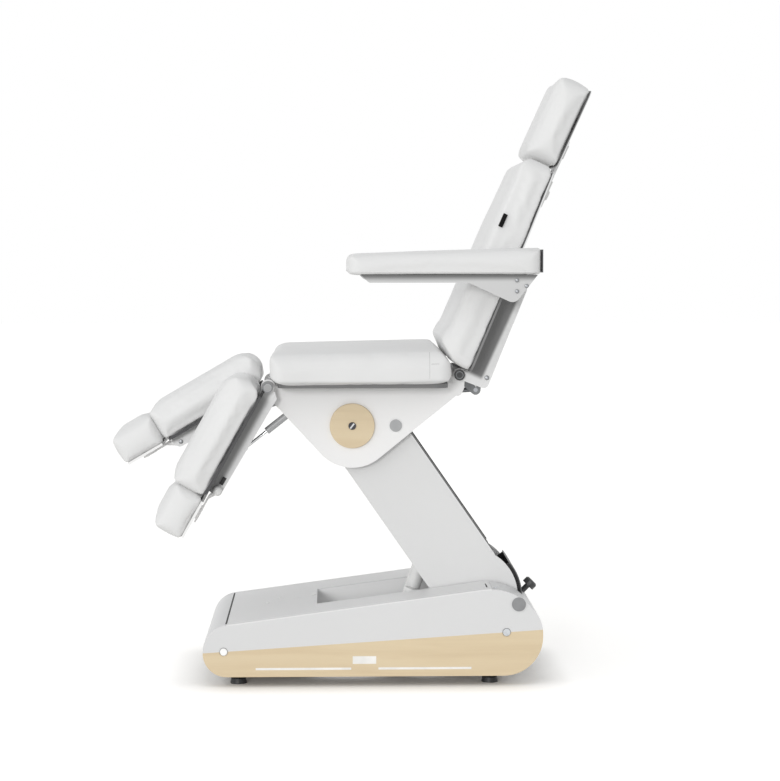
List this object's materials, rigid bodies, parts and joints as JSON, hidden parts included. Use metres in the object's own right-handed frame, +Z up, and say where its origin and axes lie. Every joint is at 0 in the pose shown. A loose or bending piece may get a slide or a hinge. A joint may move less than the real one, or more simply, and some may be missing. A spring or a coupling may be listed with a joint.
{
  "type": "podiatry treatment chair",
  "caption": "Upholstered podiatry chair on a parallelogram lift with reclining back, sliding headrest, folding armrests and separate swinging leg rests.",
  "frame": {"origin": "on the floor under the middle of the whole chair", "axes": "+Z up, +X towards the head end, -Y towards the chair's left side"},
  "size_m": [1.3418, 0.76, 1.6627],
  "materials": {
    "board": "black laminate",
    "bronze": "turned",
    "chrome": "polished",
    "dark_plastic": "matt",
    "grey_paint": "matt powder coat",
    "grey_plastic": "satin",
    "ivory": "satin",
    "maple": "satin lacquer",
    "rubber": "matt",
    "steel": "brushed",
    "upholstery": "fine-grained artificial leather",
    "white_paint": "semi-gloss powder coat",
    "white_plastic": "gloss"
  },
  "bodies": {
    "base": {"base_chassis": "grey_paint", "base_cover": "white_paint", "top_panel": "white_paint", "well_liner": "white_paint", "rear_hood": "dark_plastic", "base_skirts": "white_paint", "wood_panels": "maple", "panel_strips": "ivory", "base_screws": "steel", "base_caps": "grey_plastic", "levelling_feet": "dark_plastic", "control_box": "dark_plastic", "mains_inlet": "dark_plastic", "base_pivot_pins": "steel"},
    "clamp_knob": {"rear_clamp_knob": "dark_plastic"},
    "lift_arm": {"lift_arm": "white_paint", "arm_edge_trim": "rubber", "arm_pivot_fittings": "bronze"},
    "rear_link": {"rear_link": "white_paint"},
    "lift_tube": {"lift_actuator_tube": "dark_plastic"},
    "lift_rod": {"lift_actuator_rod": "steel"},
    "seat": {"seat_plates": "white_paint", "seat_crossframe": "white_paint", "seat_hinge_tubes": "white_paint", "seat_board": "board", "seat_cushion": "upholstery", "wood_discs": "maple", "seat_caps": "grey_plastic", "seat_pivot_pins": "chrome"},
    "back": {"back_frame": "white_paint", "back_screws": "steel", "back_board": "board", "back_cushion": "upholstery", "back_tag": "dark_plastic", "headrest_guide": "dark_plastic"},
    "back_tube": {"back_actuator_tube": "dark_plastic"},
    "back_rod": {"back_actuator_rod": "steel"},
    "head_knob": {"head_lock_knob": "dark_plastic"},
    "headrest": {"headrest_frame": "dark_plastic", "headrest_cushion": "upholstery"},
    "armrest_left": {"armrest_bracket_left": "white_paint", "armrest_tray_left": "white_plastic", "armrest_pad_left": "upholstery"},
    "leg_left": {"leg_frame_left": "white_paint", "leg_cushion_left": "upholstery"},
    "leg_knob_left": {"leg_knob_left": "white_plastic"},
    "foot_left": {"foot_frame_left": "white_paint", "foot_cushion_left": "upholstery"},
    "strut_cylinder_left": {"gas_spring_cylinder_left": "dark_plastic"},
    "strut_rod_left": {"gas_spring_rod_left": "chrome"},
    "armrest_right": {"armrest_bracket_right": "white_paint", "armrest_tray_right": "white_plastic", "armrest_pad_right": "upholstery"},
    "leg_right": {"leg_frame_right": "white_paint", "leg_cushion_right": "upholstery"},
    "leg_knob_right": {"leg_knob_right": "white_plastic"},
    "foot_right": {"foot_frame_right": "white_paint", "foot_cushion_right": "upholstery"},
    "strut_cylinder_right": {"gas_spring_cylinder_right": "dark_plastic"},
    "strut_rod_right": {"gas_spring_rod_right": "chrome"}
  },
  "joints": [
    {"name": "lift", "type": "hinge", "parent": "base", "child": "lift_arm", "pos_m": [0.3425, 0, 0.2235], "axis": [0, 1, 0], "range_deg": [-43, 4]},
    {"name": "seat_level", "type": "hinge", "parent": "lift_arm", "child": "seat", "pos_m": [0.01061, 0, 0.70281], "axis": [0, 1, 0], "range_deg": [-4, 43]},
    {"name": "rear_link_swing", "type": "hinge", "parent": "base", "child": "rear_link", "pos_m": [0.4629, 0, 0.2235], "axis": [0, 1, 0], "range_deg": [-43, 4]},
    {"name": "lift_tube_swing", "type": "hinge", "parent": "base", "child": "lift_tube", "pos_m": [0.12952, 0, 0.07437], "axis": [0, 1, 0], "range_deg": [-21.5, 2]},
    {"name": "lift_rod_swing", "type": "hinge", "parent": "lift_arm", "child": "lift_rod", "pos_m": [0.26779, 0, 0.47253], "axis": [0, 1, 0], "range_deg": [-2, 21.5]},
    {"name": "back_recline", "type": "hinge", "parent": "seat", "child": "back", "pos_m": [0.306, 0, 0.844], "axis": [0, 1, 0], "range_deg": [0, 65]},
    {"name": "back_tube_swing", "type": "hinge", "parent": "seat", "child": "back_tube", "pos_m": [-0.088, 0, 0.766], "axis": [0, 1, 0], "range_deg": [0, 3.58]},
    {"name": "back_rod_swing", "type": "hinge", "parent": "back", "child": "back_rod", "pos_m": [0.361, 0, 0.793], "axis": [0, 1, 0], "range_deg": [-61.62, 0]},
    {"name": "headrest_height", "type": "slide", "parent": "back", "child": "headrest", "axis": [0.4147, 0, 0.91], "range_m": [0, 0.12]},
    {"name": "head_knob_turn", "type": "hinge", "parent": "back", "child": "head_knob", "pos_m": [0.56329, 0, 1.34106], "axis": [0.91, 0, -0.4147], "range_deg": [0, 360]},
    {"name": "clamp_knob_turn", "type": "hinge", "parent": "base", "child": "clamp_knob", "pos_m": [0.497, 0, 0.21544], "axis": [0.7071, 0, 0.7071], "range_deg": [0, 360]},
    {"name": "armrest_left_swing", "type": "hinge", "parent": "back", "child": "armrest_left", "pos_m": [0.45612, -0.315, 1.08659], "axis": [0, 1, 0], "range_deg": [0, 100]},
    {"name": "leg_left_swing", "type": "hinge", "parent": "seat", "child": "leg_left", "pos_m": [-0.221, -0.13, 0.811], "axis": [0, -1, 0], "range_deg": [-60.6, 14.4]},
    {"name": "foot_left_slide", "type": "slide", "parent": "leg_left", "child": "foot_left", "axis": [-0.4909, 0, -0.8712], "range_m": [0, 0.14]},
    {"name": "leg_knob_left_pull", "type": "slide", "parent": "leg_left", "child": "leg_knob_left", "axis": [0, -1, 0], "range_m": [0, 0.008], "stiffness_N_per_m": 600},
    {"name": "strut_cylinder_left_swing", "type": "hinge", "parent": "seat", "child": "strut_cylinder_left", "pos_m": [-0.108, -0.138, 0.78], "axis": [0, -1, 0], "range_deg": [-39.69, 9.66]},
    {"name": "strut_rod_left_swing", "type": "hinge", "parent": "leg_left", "child": "strut_rod_left", "pos_m": [-0.28497, -0.138, 0.64044], "axis": [0, -1, 0], "range_deg": [-5.34, 21.51]},
    {"name": "armrest_right_swing", "type": "hinge", "parent": "back", "child": "armrest_right", "pos_m": [0.45612, 0.315, 1.08659], "axis": [0, 1, 0], "range_deg": [0, 100]},
    {"name": "leg_right_swing", "type": "hinge", "parent": "seat", "child": "leg_right", "pos_m": [-0.221, 0.13, 0.811], "axis": [0, -1, 0], "range_deg": [-30.2, 44.8]},
    {"name": "foot_right_slide", "type": "slide", "parent": "leg_right", "child": "foot_right", "axis": [-0.8643, 0, -0.503], "range_m": [0, 0.14]},
    {"name": "leg_knob_right_pull", "type": "slide", "parent": "leg_right", "child": "leg_knob_right", "axis": [0, 1, 0], "range_m": [0, 0.008], "stiffness_N_per_m": 600},
    {"name": "strut_cylinder_right_swing", "type": "hinge", "parent": "seat", "child": "strut_cylinder_right", "pos_m": [-0.108, 0.138, 0.78], "axis": [0, -1, 0], "range_deg": [-19.93, 29.42]},
    {"name": "strut_rod_right_swing", "type": "hinge", "parent": "leg_right", "child": "strut_rod_right", "pos_m": [-0.36249, 0.138, 0.69626], "axis": [0, -1, 0], "range_deg": [-15.98, 10.87]}
  ],
  "couplings": [
    {"joint": "strut_cylinder_left_swing", "follows": "leg_left_swing", "ratio": 0.65},
    {"joint": "strut_rod_left_swing", "follows": "leg_left_swing", "ratio": -0.35},
    {"joint": "strut_cylinder_right_swing", "follows": "leg_right_swing", "ratio": 0.65},
    {"joint": "strut_rod_right_swing", "follows": "leg_right_swing", "ratio": -0.35},
    {"joint": "seat_level", "follows": "lift", "ratio": -1},
    {"joint": "rear_link_swing", "follows": "lift", "ratio": 1},
    {"joint": "lift_tube_swing", "follows": "lift", "ratio": 0.5},
    {"joint": "lift_rod_swing", "follows": "lift", "ratio": -0.5},
    {"joint": "back_tube_swing", "follows": "back_recline", "ratio": 0.0535},
    {"joint": "back_rod_swing", "follows": "back_recline", "ratio": -0.9465}
  ]
}
